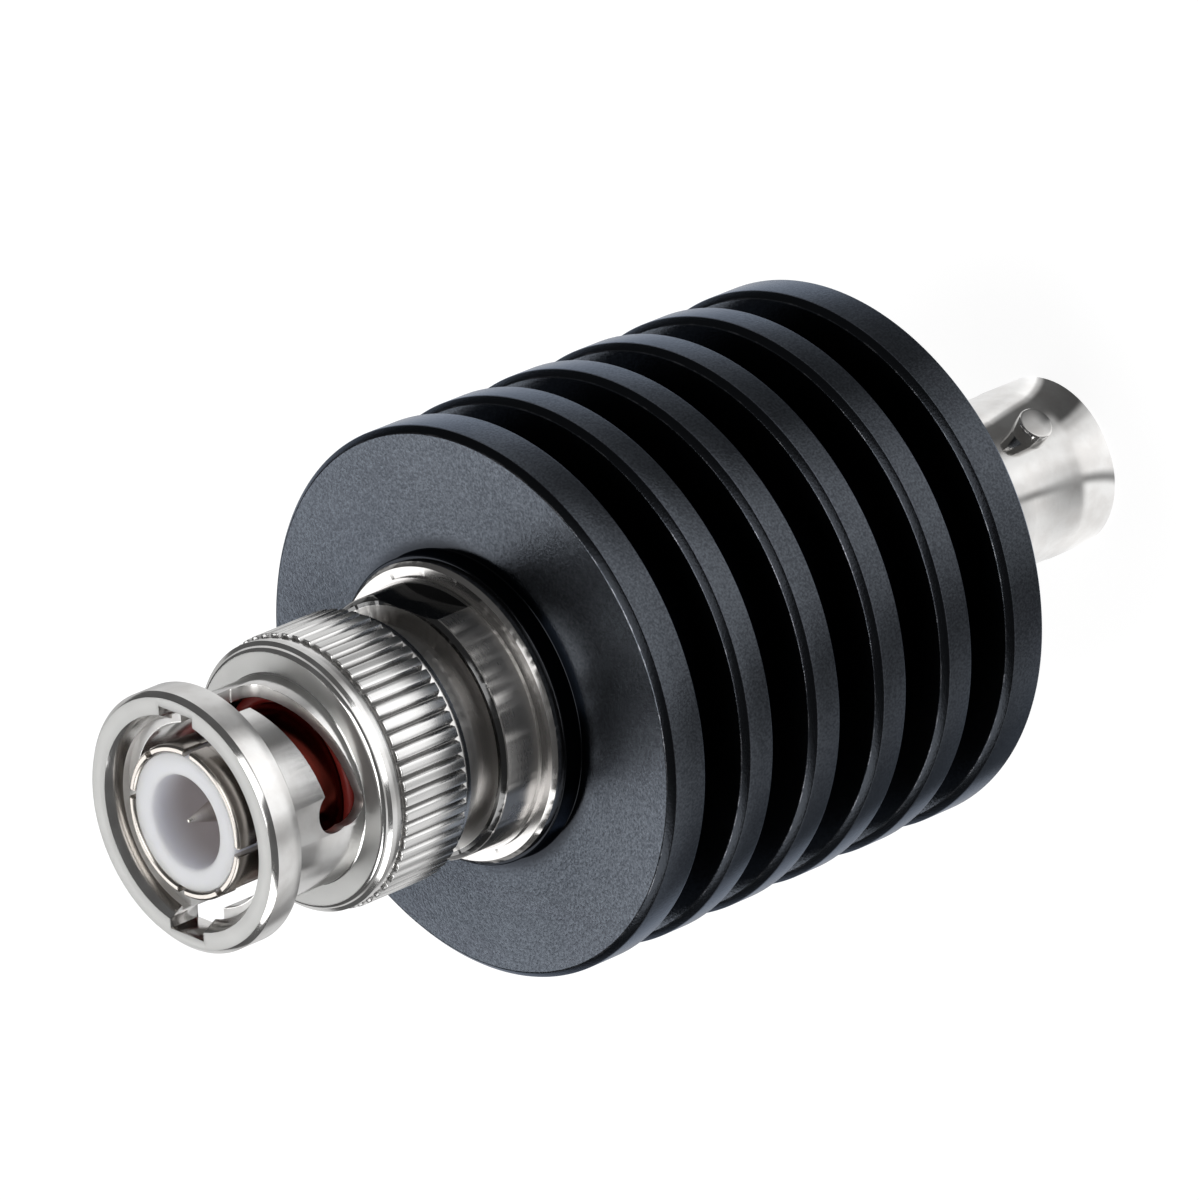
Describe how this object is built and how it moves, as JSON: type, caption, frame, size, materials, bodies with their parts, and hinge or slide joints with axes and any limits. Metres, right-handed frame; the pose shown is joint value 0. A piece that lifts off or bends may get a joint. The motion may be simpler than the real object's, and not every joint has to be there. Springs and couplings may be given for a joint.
{
  "type": "coaxial attenuator",
  "caption": "Coaxial attenuator: black finned round heatsink with a bayonet plug and turning coupling nut at one end, a bayonet jack at the other.",
  "frame": {"origin": "centre of the jack's open end ring, on the floor it stands on", "axes": "+Z along the axis from the jack to the plug; +X through the coupling nut's keyways and square to the wrench flats"},
  "size_m": [0.03, 0.03, 0.0638],
  "materials": {
    "black_anodised": "bead-blasted black anodised aluminium",
    "nickel": "polished nickel plate on brass",
    "white_insulator": "smooth white PTFE",
    "gold_contact": "gold-plated contact",
    "pin_metal": "plated contact pin",
    "carrier_alloy": "plain machined aluminium",
    "screw_steel": "stainless steel",
    "spring_steel": "spring steel strip",
    "chip_ceramic": "white ceramic with resistive film",
    "contact_foil": "gold-plated foil",
    "seal_rubber": "black rubber",
    "red_rubber": "red silicone rubber"
  },
  "bodies": {
    "attenuator": {"heatsink": "black_anodised", "jack_seal": "seal_rubber", "plug_seal": "seal_rubber", "jack_shell": "nickel", "bayonet_studs": "nickel", "jack_insulator": "white_insulator", "jack_socket": "gold_contact", "jack_bead": "white_insulator", "chip_carrier": "carrier_alloy", "carrier_cover": "carrier_alloy", "carrier_screws": "screw_steel", "attenuator_chip": "chip_ceramic", "output_tab": "contact_foil", "input_tab": "contact_foil", "plug_body": "nickel", "plug_bead": "white_insulator", "plug_sleeve": "nickel", "plug_insulator": "white_insulator", "plug_pin": "pin_metal", "gasket": "red_rubber", "thrust_washer": "screw_steel", "wave_spring": "spring_steel"},
    "spring_carriage": {"slip_washer": "screw_steel"},
    "coupling": {"coupling_nut": "nickel", "retaining_ring": "nickel"}
  },
  "joints": [
    {"name": "nut_pull", "type": "slide", "parent": "attenuator", "child": "spring_carriage", "axis": [0, 0, 1], "range_m": [0, 0.0008], "stiffness_N_per_m": 8000, "springref_m": -0.0005, "deforming": ["wave_spring"]},
    {"name": "nut_turn", "type": "hinge", "parent": "spring_carriage", "child": "coupling", "pos_m": [0, 0, 0.0505], "axis": [0, 0, 1], "continuous": true}
  ]
}
